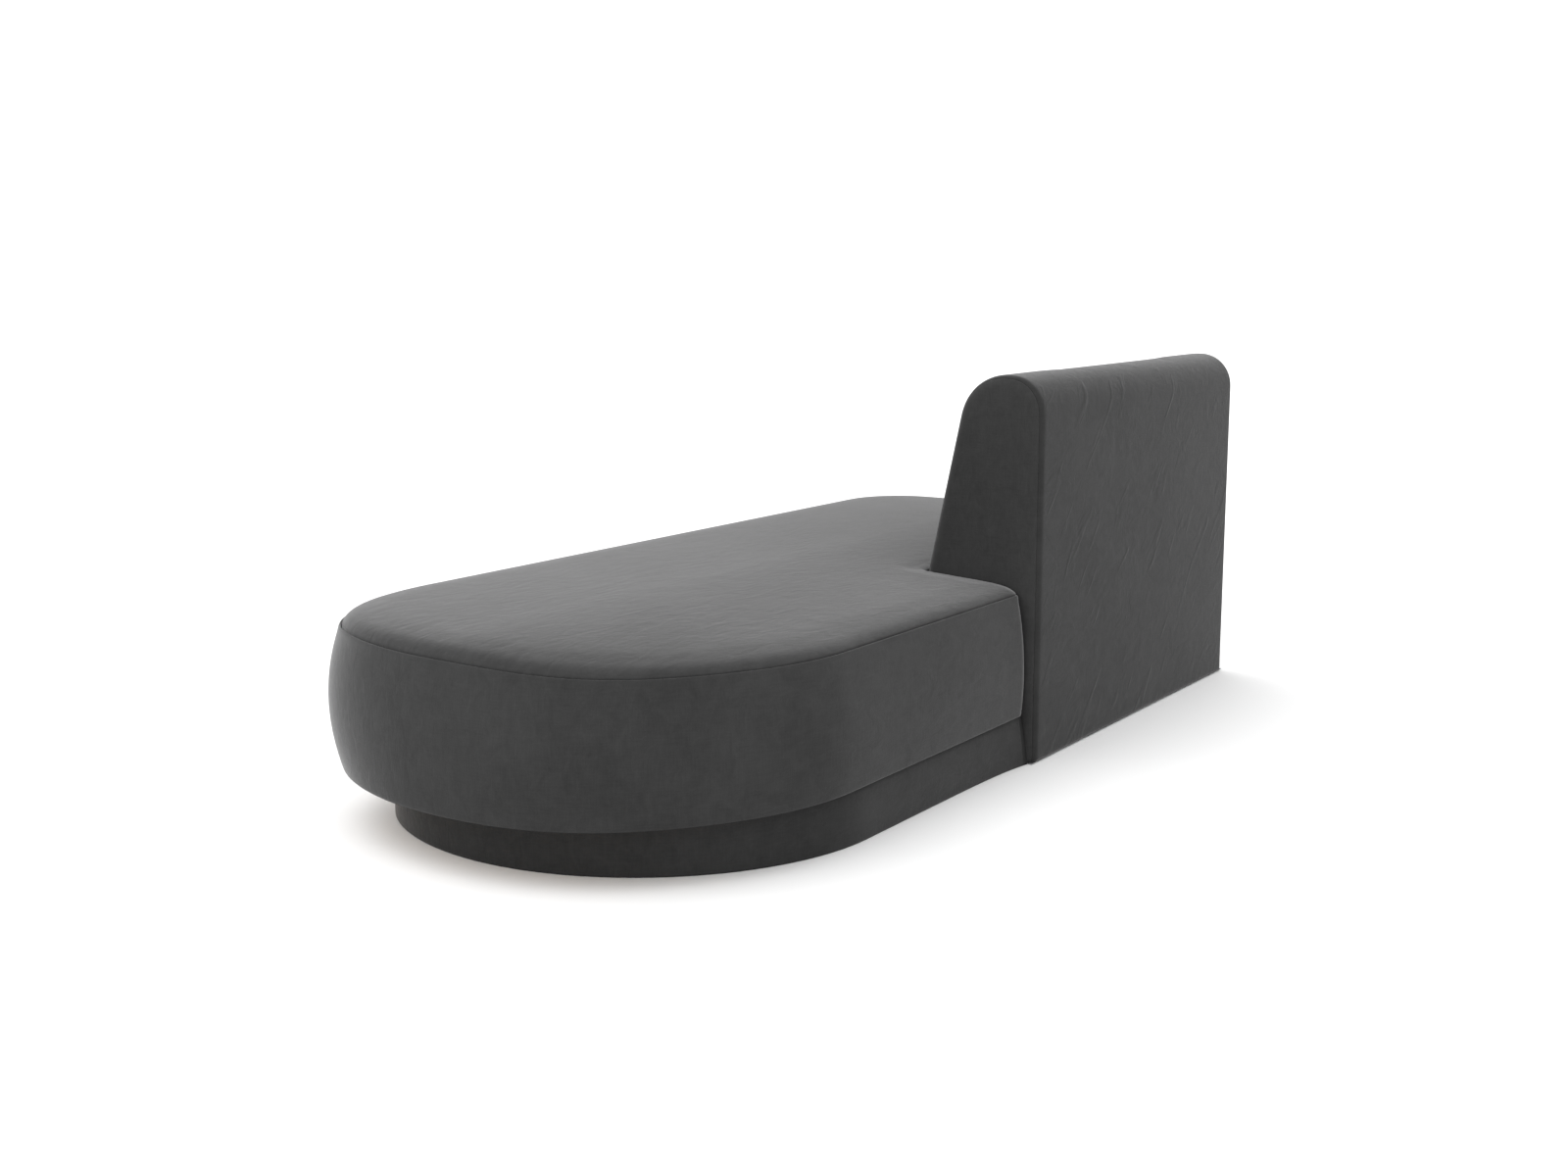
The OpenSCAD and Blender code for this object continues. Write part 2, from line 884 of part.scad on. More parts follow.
module back_middle_ribs() {
    color(plywood)
        for (n = [1, 2]) {
            x = rail_x0 + (rail_x1 - rail_x0) * n / 3 - rib_t / 2;
            difference() {
                core_prism(x, x + rib_t, core_i, boards_z);
                for (r = back_rails)
                    along_x(x - 1, x + rib_t + 1)
                        area(r[0] - [rib_gap, rib_gap], r[1] + [rib_gap, rib_gap]);
            }
        }
}

module back_top_rail() {
    color(pine)
        difference() {
            back_rail(top_rail);
            back_screw_shapes();
        }
}

module back_ledge_rail() {
    color(pine)
        difference() {
            back_rail(ledge_rail);
            back_screw_shapes();
        }
}

module back_joint_rail() {
    color(pine)
        difference() {
            back_rail(joint_rail);
            back_screw_shapes();
            bolt_bores();
        }
}

module back_foot_rails() {
    color(pine)
        difference() {
            union() {
                back_rail(foot_front);
                back_rail(foot_rear);
            }
            back_screw_shapes();
        }
}

module back_rear_rail() {
    color(pine)
        difference() {
            back_rail(rear_rail);
            back_screw_shapes();
        }
}

module back_frame_screws() {
    color(steel) back_screw_shapes();
}

module back_board() {
    color(hardboard)
        span(
            [back_x0 + rear_corner_r, core_rear_y, boards_z],
            [back_x1 - rear_corner_r, core_rear_y + rear_board_t, rear_arc_z]
        );
}

// Places a child on the leaning face of the frame: across X, up the face, and out of it
module on_lean(up) {
    foot = lean_foot(core_i);
    translate([0, foot[0], foot[1]])
        rotate([-back_lean, 0, 0])
            translate([0, 0, up]) children();
}

lean_l = norm(lean_top(core_i) - lean_foot(core_i));
back_strap_up = spread(0, lean_l, straps_back);

module back_webbing() {
    color(elastic)
        for (u = back_strap_up)
            on_lean(u)
                span([far_rib_x, -strap_t, -strap_w / 2], [near_rib_x + rib_t, 0, strap_w / 2]);
}

module back_webbing_staples() {
    color(steel)
        for (u = back_strap_up)
            for (x = [far_rib_x + rib_t / 2, near_rib_x + rib_t / 2])
                for (s = [-1, 1])
                    on_lean(u + s * strap_w / 4)
                        translate([x - staple_t / 2, -strap_t - staple_t, -staple_w / 2])
                            cube([staple_t, staple_t, staple_w]);
}

// ---- Backrest padding and cover ----

module back_foam() {
    x0 = back_x0 + side_i;
    x1 = back_x1 - side_i;
    color(foam)
        difference() {
            intersection() {
                back_block(padding_i, ledge_z);
                span([x0, front_y, 0], [x1, rear_y, back_height]);
            }
            core_prism(x0 - 1, x1 + 1, core_i - web_gap, ledge_z - 1);
            span([x0 - 1, core_rear_y - 1, 0], [x1 + 1, rear_y, rear_arc_z]);
        }
}

module side_pad(x) {
    color(foam)
        intersection() {
            back_block(padding_i, boards_z);
            span([x, front_y, 0], [x + side_pad_t, rear_y, back_height]);
        }
}

module back_near_pad() {
    side_pad(back_x1 - side_i);
}

module back_far_pad() {
    side_pad(back_x0 + padding_i);
}

module back_wadding() {
    color(wadding)
        difference() {
            back_block(cover_t, boards_z);
            back_block(padding_i, 0);
            span([back_x0, front_y, 0], [back_x1, front_y + core_i, ledge_z]);
        }
}

module back_skin(x0, x1) {
    color(velvet)
        difference() {
            intersection() {
                back_block(0, glide_t);
                span([x0, front_y - 1, 0], [x1, rear_y + 1, back_height + 1]);
            }
            back_block(cover_t, 0);
            bolt_bores();
        }
}

module back_cover_wrap() {
    back_skin(back_x0 + side_seam_x, back_x1 - side_seam_x);
}

module back_cover_near_side() {
    back_skin(back_x1 - side_seam_x, back_x1);
}

module back_cover_far_side() {
    back_skin(back_x0, back_x0 + side_seam_x);
}

module back_dust_cover() {
    color(cambric)
        difference() {
            translate([0, 0, glide_t]) linear_extrude(cambric_t) back_plan(cover_t);
            nails(back_glide_places);
        }
}

module back_glides() {
    color(plastic)
        for (q = back_glide_places) glide(q);
}

// ---- Fasteners between the backrest and the seat ----

// A cylinder along -Y from a given y
module pin_y(n, y, r, length) {
    translate([bolt_x(n), y, bolt_z])
        rotate([90, 0, 0])
            cylinder(r = r, h = length);
}

nut_y = notch_y - rail_t;

module bolt_bores() {
    for (n = [0 : bolts - 1]) {
        pin_y(n, core_y + rail_t + 1, bolt_hole_r, core_y - nut_y + rail_t + 2);
        pin_y(n, nut_y + nut_barrel_l, nut_barrel_r, nut_barrel_l + 1);
    }
}

module join_bolts() {
    head_y = core_y + rail_t + washer_t + bolt_head_h;
    color(steel)
        for (n = [0 : bolts - 1]) {
            pin_y(n, head_y, bolt_head_r, bolt_head_h);
            pin_y(n, head_y, bolt_r, head_y - nut_y + bolt_over);
        }
}

module join_washers() {
    color(steel)
        for (n = [0 : bolts - 1])
            difference() {
                pin_y(n, core_y + rail_t + washer_t, washer_r, washer_t);
                pin_y(n, core_y + rail_t + washer_t + 1, bolt_r + thread_gap, washer_t + 2);
            }
}

module join_t_nuts() {
    color(steel)
        for (n = [0 : bolts - 1])
            difference() {
                union() {
                    pin_y(n, nut_y, washer_r, nut_flange_t);
                    pin_y(n, nut_y + nut_barrel_l, nut_barrel_r, nut_barrel_l);
                }
                pin_y(n, nut_y + nut_barrel_l + 1, bolt_r + thread_gap, nut_barrel_l + nut_flange_t + 2);
            }
}

plinth_front_rail();
plinth_back_rail();
plinth_end_rail();
plinth_notch_rail();
plinth_round_wall();
plinth_corner_wall();
plinth_cross_rails();
plinth_corner_blocks();
plinth_screws();
plinth_cover();
plinth_dust_cover();
plinth_glides();
seat_base_panel();
seat_front_rail();
seat_back_rail();
seat_end_rail();
seat_notch_rail();
seat_return_rail();
seat_round_wall();
seat_corner_wall();
seat_cross_rails();
seat_corner_blocks();
seat_frame_screws();
seat_webbing_across();
seat_webbing_along();
seat_webbing_staples();
seat_foam_round();
seat_foam_end();
boxing_foam_front();
boxing_foam_back();
boxing_foam_end();
boxing_foam_round();
boxing_foam_corner();
seat_wadding();
seat_boxing();
seat_top_panel();
back_near_rib();
back_far_rib();
back_middle_ribs();
back_top_rail();
back_ledge_rail();
back_joint_rail();
back_foot_rails();
back_rear_rail();
back_frame_screws();
back_board();
back_webbing();
back_webbing_staples();
back_foam();
back_near_pad();
back_far_pad();
back_wadding();
back_cover_wrap();
back_cover_near_side();
back_cover_far_side();
back_dust_cover();
back_glides();
join_bolts();
join_washers();
join_t_nuts();
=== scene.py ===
import math

import bmesh
import bpy
import numpy as np
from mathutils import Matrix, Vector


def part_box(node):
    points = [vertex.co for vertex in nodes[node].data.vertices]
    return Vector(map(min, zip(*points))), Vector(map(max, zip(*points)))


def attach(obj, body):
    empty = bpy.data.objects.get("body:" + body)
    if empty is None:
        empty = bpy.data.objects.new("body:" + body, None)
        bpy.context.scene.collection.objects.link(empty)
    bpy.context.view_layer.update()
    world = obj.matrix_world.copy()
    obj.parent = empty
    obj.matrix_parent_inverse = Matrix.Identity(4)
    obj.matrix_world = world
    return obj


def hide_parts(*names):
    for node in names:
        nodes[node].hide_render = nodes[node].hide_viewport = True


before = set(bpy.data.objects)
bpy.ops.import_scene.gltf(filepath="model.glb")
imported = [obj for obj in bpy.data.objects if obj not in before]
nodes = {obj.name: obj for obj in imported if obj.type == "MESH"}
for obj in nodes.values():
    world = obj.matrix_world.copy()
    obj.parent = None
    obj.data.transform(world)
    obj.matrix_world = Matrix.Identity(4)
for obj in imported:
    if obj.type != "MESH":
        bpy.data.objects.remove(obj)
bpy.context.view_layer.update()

# ---- Camera ----
# A seated person's view over the round end and along the rear of the backrest.
# The lens is a little longer than normal, and the camera looks slightly down.
camera_data = bpy.data.cameras.new("camera")
camera_data.lens = 43.875
camera_data.sensor_width = 36
camera = bpy.data.objects.new("camera", camera_data)
camera.location = (3.342, 2.094, 1.0)
camera.rotation_euler = (math.radians(90 - 9.78), 0, math.radians(122.85))
bpy.context.scene.collection.objects.link(camera)
bpy.context.scene.camera = camera

# ---- Studio ----
# A wide white floor under an even white sky, as in a furniture studio. One very soft
# lamp stands high over the front, so the bed shades the floor a little behind it.
bpy.context.scene.view_settings.view_transform = "Standard"
sky = bpy.data.worlds.new("sky")
sky.use_nodes = True
sky.node_tree.nodes["Background"].inputs["Color"].default_value = (1, 1, 1, 1)
sky.node_tree.nodes["Background"].inputs["Strength"].default_value = 1.2
bpy.context.scene.world = sky

lamp_data = bpy.data.lights.new("soft_lamp", "SUN")
lamp_data.energy = 1.4
lamp_data.angle = math.radians(75)
lamp = bpy.data.objects.new("soft_lamp", lamp_data)
lamp.rotation_euler = (math.radians(28), math.radians(14), 0)
bpy.context.scene.collection.objects.link(lamp)

floor_shape = bmesh.new()
bmesh.ops.create_grid(floor_shape, x_segments=4, y_segments=4, size=40)
floor_mesh = bpy.data.meshes.new("floor")
floor_shape.to_mesh(floor_mesh)
floor = bpy.data.objects.new("floor", floor_mesh)
bpy.context.scene.collection.objects.link(floor)
floor_paint = bpy.data.materials.new("floor_paint")
floor_paint.use_nodes = True
floor_paint.node_tree.nodes["Principled BSDF"].inputs["Base Color"].default_value = (0.93, 0.93, 0.93, 1)
floor_paint.node_tree.nodes["Principled BSDF"].inputs["Roughness"].default_value = 0.9
floor_paint.node_tree.nodes["Principled BSDF"].inputs["Specular IOR Level"].default_value = 0.1
floor_mesh.materials.append(floor_paint)


# ---- Plinth boards ----
# Planed pine boards on edge: front, back, flat end, along the notch, and four across.
# Triangular blocks are glued in the corners. The faces are sanded and left bare.
class Wire:
    """One socket of a finish. Arithmetic on it adds Math nodes."""

    def __init__(self, finish, socket):
        self.finish = finish
        self.socket = socket

    def calc(self, operation, first, second):
        return self.finish.node("Math", {"operation": operation}, {0: first, 1: second})

    def __add__(self, other):
        return self.calc("ADD", self, other)

    __radd__ = __add__

    def __sub__(self, other):
        return self.calc("SUBTRACT", self, other)

    def __rsub__(self, other):
        return self.calc("SUBTRACT", other, self)

    def __mul__(self, other):
        return self.calc("MULTIPLY", self, other)

    __rmul__ = __mul__

    def __pow__(self, other):
        return self.calc("POWER", self, other)


class Finish:
    """A material in the making. Its shader's own sockets hold whatever is the same all over."""

    def __init__(self, name, **constants):
        self.material = bpy.data.materials.new(name)
        self.material.use_nodes = True
        self.shader = self.material.node_tree.nodes["Principled BSDF"]
        for socket, value in constants.items():
            self.shader.inputs[socket.replace("_", " ")].default_value = value

    def node(self, kind, settings, sockets, out=0):
        made = self.material.node_tree.nodes.new("ShaderNode" + kind)
        for name, value in settings.items():
            setattr(made, name, value)
        for name, value in sockets.items():
            if isinstance(value, Wire):
                self.material.node_tree.links.new(value.socket, made.inputs[name])
            else:
                made.inputs[name].default_value = value
        return Wire(self, made.outputs[out])

    def place(self, scale, turn=(0, 0, 0)):
        """The piece's own coordinates in metres, turned and then stretched by scale."""
        here = self.node("TexCoord", {}, {}, "Object")
        turned = self.node("Mapping", {}, {"Vector": here, "Rotation": turn})
        return self.node("Mapping", {}, {"Vector": turned, "Scale": scale})

    def noise(self, scale, size, detail=3.0, rough=0.5, wander=0.0, turn=(0, 0, 0)):
        sockets = {
            "Vector": self.place(scale, turn),
            "Scale": size,
            "Detail": detail,
            "Roughness": rough,
            "Distortion": wander,
        }
        return self.node("TexNoise", {}, sockets)

    def bands(self, axis, size, wander=0.0, detail=2.0, scale=(1, 1, 1)):
        settings = {"wave_type": "BANDS", "bands_direction": axis, "wave_profile": "SIN"}
        sockets = {
            "Vector": self.place(scale),
            "Scale": size,
            "Distortion": wander,
            "Detail": detail,
            "Detail Scale": 1.5,
        }
        return self.node("TexWave", settings, sockets, "Fac")

    def mix(self, mask, first, second):
        """first where the mask is 0 and second where it is 1."""
        settings = {"data_type": "RGBA", "clamp_factor": True}
        return self.node("Mix", settings, {0: mask, 6: first, 7: second}, 2)

    def dye(self, colour):
        self.material.node_tree.links.new(colour.socket, self.shader.inputs["Base Color"])

    def wear(self, roughness):
        self.material.node_tree.links.new(roughness.socket, self.shader.inputs["Roughness"])

    def relief(self, height, depth):
        raised = self.node("Bump", {}, {"Height": height, "Distance": depth, "Strength": 1.0})
        self.material.node_tree.links.new(raised.socket, self.shader.inputs["Normal"])

    def coat(self, *names):
        for name in names:
            for slot in nodes[name].material_slots:
                slot.material = self.material


def pine_finish(name, along):
    finish = Finish(name, Specular_IOR_Level=0.35)
    grain = tuple(1.4 if axis == along else 30 for axis in "XYZ")
    across = "Y" if along == "X" else "X"
    rings = finish.bands(across, 9, 7, 3, tuple(0.35 if axis == along else 4 for axis in "XYZ"))
    fibre = finish.noise(grain, 9, 6, 0.65)
    boards = finish.noise((0.6, 0.6, 0.6), 1.3, 1)
    pale = finish.mix(fibre, (0.62, 0.43, 0.23, 1), (0.74, 0.56, 0.34, 1))
    ringed = finish.mix(0.55 * rings ** 2.5, pale, (0.45, 0.26, 0.12, 1))
    finish.dye(finish.mix(0.35 * boards, ringed, (0.56, 0.37, 0.2, 1)))
    finish.wear(0.5 + 0.2 * fibre)
    finish.relief(fibre + 0.6 * rings, 0.0005)
    return finish


pine_along = pine_finish("pine_along", "X")
pine_across = pine_finish("pine_across", "Y")
pine_along.coat("plinth_front_rail", "plinth_back_rail", "plinth_notch_rail")
pine_across.coat("plinth_end_rail", "plinth_cross_rails", "plinth_corner_blocks")


# ---- Plinth walls ----
# Two walls of bending plywood close the round end and the front corner of the plinth.
# The face veneer's grain runs up the wall, across the bend.
def plywood_finish(name, grain, plies):
    finish = Finish(name, Specular_IOR_Level=0.35)
    fibre = finish.noise(tuple(1.5 if axis == grain else 36 for axis in "XYZ"), 7, 5, 0.6, 0.3)
    cloud = finish.noise((1, 1, 1), 3, 2)
    face = finish.mix(fibre, (0.5, 0.34, 0.19, 1), (0.66, 0.49, 0.3, 1))
    aged = finish.mix(0.5 * cloud, face, (0.47, 0.3, 0.16, 1))
    if plies:
        layers = finish.bands(plies, 104)
        aged = finish.mix(0.45 * layers, aged, (0.31, 0.19, 0.1, 1))
    finish.dye(aged)
    finish.wear(0.55 + 0.2 * fibre)
    finish.relief(fibre, 0.0004)
    return finish


bent_plywood = plywood_finish("bent_plywood", "Z", None)
bent_plywood.coat("plinth_round_wall", "plinth_corner_wall")


# ---- Plinth screws ----
# Zinc-plated wood screws go up through the corner blocks into the seat's base panel.
# The plating has a faint crystal bloom and fine turning marks.
def zinc_finish(name):
    finish = Finish(name, Metallic=1.0)
    bloom = finish.node("TexVoronoi", {}, {"Vector": finish.place((1, 1, 1)), "Scale": 420})
    smear = finish.noise((1, 1, 1), 260, 3)
    finish.dye(finish.mix(bloom, (0.56, 0.57, 0.6, 1), (0.74, 0.74, 0.73, 1)))
    finish.wear(0.26 + 0.24 * smear)
    finish.relief(smear, 0.0001)
    return finish


zinc_steel = zinc_finish("zinc_steel")
zinc_steel.coat("plinth_screws")


# ---- Plinth dust cover ----
# Black spun cloth, stretched flat inside the boards and stapled to them.
# It hangs a hair slack between the cross boards.
ACROSS_NOTCH = 76
BESIDE_BACKREST = 17
REAR_RUN = 77
TIP_RUN = 60
FRONT_RUN = 170
END_RUN = 60
LENGTHWAYS = ACROSS_NOTCH + BESIDE_BACKREST + REAR_RUN
ROUND_TURN = math.radians(42)


def even_steps(line, count):
    """count points a like distance apart along a line, without its last point."""
    line = np.array(line)
    walked = np.concatenate([[0], np.cumsum(np.linalg.norm(np.diff(line, axis=0), axis=1))])
    stops = np.linspace(0, walked[-1], count + 1)[:-1]
    return np.stack([np.interp(stops, walked, line[:, k]) for k in (0, 1)], 1)


def around_bed(plan, inset, beside, fuller):
    """The plan's outline pulled in by inset, and by beside along the notch for the backrest.

    It starts at the notch's outer corner at the flat end and ends just before it. fuller
    gives how far the round end stands out beyond a true half round, by its angle.
    """
    end_x, tip_x, front_y, back_y, corner_r, notch_x, notch_y = plan
    half = (back_y - front_y) / 2
    centre = (tip_x - half, (front_y + back_y) / 2)
    left = end_x + inset
    right = notch_x + beside
    step_y = notch_y - beside
    back = back_y - inset
    front = front_y + inset

    def turn(start, stop):
        return [
            (
                centre[0] + (half + fuller(a) - inset) * math.cos(a),
                centre[1] + (half + fuller(a) - inset) * math.sin(a),
            )
            for a in np.linspace(start, stop, 90)
        ]

    def corner(start, stop):
        bend = corner_r - inset
        return [
            (end_x + corner_r + bend * math.cos(a), front_y + corner_r + bend * math.sin(a))
            for a in np.linspace(start, stop, 40)
        ]

    quarter = math.pi / 2
    runs = [
        ([(left, step_y), (right, step_y)], ACROSS_NOTCH),
        ([(right, step_y), (right, back)], BESIDE_BACKREST),
        ([(right, back)] + turn(quarter, ROUND_TURN), REAR_RUN),
        (turn(ROUND_TURN, -ROUND_TURN), TIP_RUN),
        (turn(-ROUND_TURN, -quarter) + corner(-quarter, -1.5 * quarter), FRONT_RUN),
        (corner(-1.5 * quarter, -2 * quarter) + [(left, step_y)], END_RUN),
    ]
    return np.concatenate([even_steps(line, count) for line, count in runs])


def inner_rectangle(plan):
    """A rectangle well inside the plan, with one point for each point of the outline."""
    x0 = plan[0] + 0.2
    x1 = plan[1] - 0.32
    y0 = plan[2] + 0.24
    y1 = plan[6] - 0.13
    corners = [(x0, y1), (plan[5] + 0.1, y1), (x1, y1), (x1, y0), (x0, y0), (x0, y1)]
    counts = [ACROSS_NOTCH, BESIDE_BACKREST + REAR_RUN, TIP_RUN, FRONT_RUN, END_RUN]
    sides = [even_steps(corners[k : k + 2], counts[k]) for k in range(5)]
    return np.concatenate(sides)


def join_rings(first, second, count, closed=True):
    """Faces between two rings of count points each, whose first points are numbered."""
    steps = range(count if closed else count - 1)
    return [(first + k, first + (k + 1) % count, second + (k + 1) % count, second + k) for k in steps]


def fill_bed(plan, loops, blends=11):
    """Points and faces of a flat sheet within the last loop, from rings and a middle grid."""
    count = len(loops[0])
    inner = inner_rectangle(plan)
    shares = [k / blends for k in range(1, blends + 1)]
    rings = list(loops) + [loops[-1] * (1 - s) + inner * s for s in shares]
    points = np.concatenate(rings)
    faces = []
    for k in range(len(rings) - 1):
        faces += join_rings(k * count, (k + 1) * count, count)
    edge = (len(rings) - 1) * count
    number = np.full((LENGTHWAYS + 1, TIP_RUN + 1), -1)
    for k in range(count):
        if k <= LENGTHWAYS:
            number[k, 0] = edge + k
        elif k <= LENGTHWAYS + TIP_RUN:
            number[LENGTHWAYS, k - LENGTHWAYS] = edge + k
        elif k <= 2 * LENGTHWAYS + TIP_RUN:
            number[2 * LENGTHWAYS + TIP_RUN - k, TIP_RUN] = edge + k
        else:
            number[0, count - k] = edge + k
    extra = []
    for i in range(1, LENGTHWAYS):
        for j in range(1, TIP_RUN):
            number[i, j] = len(points) + len(extra)
            top = points[number[i, 0]]
            foot = points[number[i, TIP_RUN]]
            extra.append(top + (foot - top) * j / TIP_RUN)
    points = np.concatenate([points, np.array(extra)])
    for i in range(LENGTHWAYS):
        for j in range(TIP_RUN):
            faces.append((number[i, j], number[i + 1, j], number[i + 1, j + 1], number[i, j + 1]))
    return points, [tuple(int(n) for n in face) for face in faces]


def make_piece(name, points, faces, finish):
    """A smooth mesh piece that rides on the bed's one body."""
    mesh = bpy.data.meshes.new(name)
    mesh.from_pydata([tuple(map(float, p)) for p in points], [], faces)
    shape = bmesh.new()
    shape.from_mesh(mesh)
    bmesh.ops.triangulate(shape, faces=[f for f in shape.faces if len(f.verts) > 4])
    bmesh.ops.recalc_face_normals(shape, faces=shape.faces)
    shape.to_mesh(mesh)
    shape.free()
    mesh.polygons.foreach_set("use_smooth", [True] * len(mesh.polygons))
    mesh.materials.append(finish.material)
    piece = bpy.data.objects.new(name, mesh)
    bpy.context.scene.collection.objects.link(piece)
    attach(piece, "root")
    return piece


def thicken(piece, depth):
    """Gives a sheet its cloth's thickness."""
    shell = piece.modifiers.new("cloth_thickness", "SOLIDIFY")
    shell.thickness = depth
    shell.offset = 0


def dust_cloth_finish(name):
    finish = Finish(name, Sheen_Weight=0.15, Specular_IOR_Level=0.25)
    fibre = finish.noise((1, 1, 1), 900, 4, 0.7, 1.5)
    bonds = finish.node("TexVoronoi", {}, {"Vector": finish.place((1, 1, 1)), "Scale": 620})
    pressed = bonds.calc("LESS_THAN", bonds, 0.28)
    web = finish.mix(fibre, (0.011, 0.011, 0.012, 1), (0.032, 0.032, 0.034, 1))
    finish.dye(finish.mix(0.6 * pressed, web, (0.006, 0.006, 0.007, 1)))
    finish.wear(0.72 + 0.2 * fibre - 0.25 * pressed)
    finish.relief(fibre - 0.8 * pressed, 0.0003)
    return finish


def true_round(angle):
    return 0.0


plinth_low, plinth_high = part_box("plinth_cover")
notch_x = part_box("plinth_notch_rail")[1].x
notch_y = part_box("plinth_notch_rail")[1].y
plinth_corner_r = 0.168
plinth_plan = (plinth_low.x, plinth_high.x, plinth_low.y, plinth_high.y, plinth_corner_r, notch_x, notch_y)

dust_cloth = dust_cloth_finish("dust_cloth")
dust_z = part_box("plinth_dust_cover")[1].z
dust_loops = [around_bed(plinth_plan, inset, 0.02, true_round) for inset in (0.0245, 0.04)]
flat_points, dust_faces = fill_bed(plinth_plan, dust_loops, 5)
slack = 0.0006 * np.sin(flat_points[:, 0] * 9) * np.cos(flat_points[:, 1] * 7)
dust_points = np.column_stack([flat_points, dust_z - 0.001 + slack])
plinth_dust_sheet = make_piece("plinth_dust_sheet", dust_points, dust_faces, dust_cloth)
thicken(plinth_dust_sheet, 0.0008)
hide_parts("plinth_dust_cover")

# ---- Plinth cover ----
# A strip of the same velvet as the seat, pulled round the boards and stapled under them.
# It swings out a little where it meets the side of the backrest.


def velvet_finish(name, painted_light_tone, mottle, sheen, ripple=1.0, creases=0.0):
    """Short dark pile. The nap lies both ways in soft clouds, over faint upright threads.

    Its first number is its mean colour, which each piece's copy sets darker or lighter as painted shade and
    light; mottle is the contrast of the clouds, sheen the bloom of the pile, ripple the depth of the
    brushed marks and creases that of the slanting pulls.
    """
    finish = Finish(
        name,
        Sheen_Weight=sheen,
        Sheen_Roughness=0.33,
        Sheen_Tint=(0.92, 0.92, 0.925, 1),
        Specular_IOR_Level=0.0,
    )
    cloud = finish.noise((1, 1, 1), 4, 3, 0.55, 0.4)
    brushed = finish.noise((1, 2.6, 1.6), 16, 5, 0.62, 1.0)
    warp = finish.noise((1, 1, 0.07), 420, 2, 0.6)
    weft = finish.noise((0.08, 0.08, 1), 380, 2, 0.6)
    pile = finish.noise((1, 1, 1), 480, 3, 0.7)
    nap = 0.3 * cloud + 0.3 * brushed + 0.13 * warp + 0.12 * weft + 0.15 * pile
    dark = (painted_light_tone * 0.35,) * 3 + (1,)
    light = (painted_light_tone * 1.65,) * 3 + (1,)
    finish.dye(finish.mix((nap - 0.5) * mottle + 0.5, dark, light))
    finish.wear(0.78 + 0.2 * nap)
    height = 0.35 * pile + 0.2 * warp + 0.2 * weft + ripple * brushed
    if creases:
        pulled = finish.noise((1, 1, 0.22), 30, 2, 0.5, 0.8, (0, math.radians(42), 0)) - 0.6
        height = height + creases * pulled.calc("MAXIMUM", pulled, 0.0)
    finish.relief(height, 0.0009)
    return finish


# This copy of the velvet is darker and has less sheen than the seat's: painted shade on the plinth strip.
plinth_velvet = velvet_finish("plinth_velvet", painted_light_tone=0.034, mottle=1.2, sheen=0.5)


def shaded_fold_finish(name):
    """The same pile, darker and without its sheen: painted shade for the folds at the foot and the crevice
    by the backrest.
    """
    finish = Finish(name, Specular_IOR_Level=0.0, Roughness=0.95)
    pile = finish.noise((1, 1, 1), 480, 3, 0.7)
    finish.dye(finish.mix(pile, (0.022, 0.022, 0.022, 1), (0.04, 0.04, 0.04, 1)))
    finish.relief(pile, 0.0004)
    return finish


fold_shade_velvet = shaded_fold_finish("fold_shade_velvet")


def paint_fold_shade(piece, in_fold_shade):
    """Gives the faces in a fold the dark sheenless velvet, as painted shade."""
    piece.data.materials.append(fold_shade_velvet.material)
    for face in piece.data.polygons:
        if in_fold_shade(face.center):
            face.material_index = 1


def swing_out(line, reach, fade):
    """Moves the line's rear run outwards near the backrest."""
    x = line[:, 0]
    rear = line[:, 1] > notch_y + 0.1
    moved = line.copy()
    moved[:, 1] += np.where(rear, reach * np.exp(-np.abs(x - notch_x) / fade), 0)
    return moved




def swelling(angle, middle, spread):
    """1 at the middle, in degrees, and next to nothing two spreads away from it."""
    return math.exp(-(((math.degrees(angle) - middle) / spread) ** 2))


def plinth_shoulder(angle):
    """The wadded strip stands out a little at the front shoulder of the round end."""
    return 0.009 * swelling(angle, -50, 24)


plinth_top_z = plinth_high.z
# Each pair is how far the cloth lies inside the boards' outline, and its height
plinth_section = [
    (0.012, plinth_top_z - 0.0004),
    (0.003, plinth_top_z - 0.0004),
    (0.0005, plinth_top_z - 0.0025),
    (0.0, 0.09),
    (-0.0008, 0.07),
    (-0.001, 0.05),
    (-0.0006, 0.03),
    (0.0, 0.014),
    (0.0, 0.005),
    (0.0002, 0.0018),
    (0.0008, 0.0009),
    (0.0016, 0.0022),
    (0.0034, 0.0035),
    (0.021, 0.0038),
]
REAR_START = ACROSS_NOTCH + BESIDE_BACKREST


def open_run(loop):
    """The outline from the backrest's side round to the flat end, without the notch."""
    return np.concatenate([loop[REAR_START:], loop[:1]])


plinth_rings = []
for inset, height in plinth_section:
    reach = 0.0155 * (1 - height / plinth_top_z)
    line = swing_out(open_run(around_bed(plinth_plan, inset, -0.0005, plinth_shoulder)), reach, 0.08)
    plinth_rings.append(np.column_stack([line, np.full(len(line), height)]))
strip_count = len(plinth_rings[0])
strip_points = np.concatenate(plinth_rings)
strip_faces = []
for k in range(len(plinth_rings) - 1):
    strip_faces += join_rings(k * strip_count, (k + 1) * strip_count, strip_count, closed=False)
plinth_strip = make_piece("plinth_strip", strip_points, strip_faces, plinth_velvet)
thicken(plinth_strip, 0.0014)
# The strip's foot and its end beside the backrest get the dark sheenless fold velvet, as painted shade.
paint_fold_shade(plinth_strip, lambda at: at.y > notch_y and at.x < notch_x + 0.007 or at.z < 0.003)
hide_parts("plinth_cover")

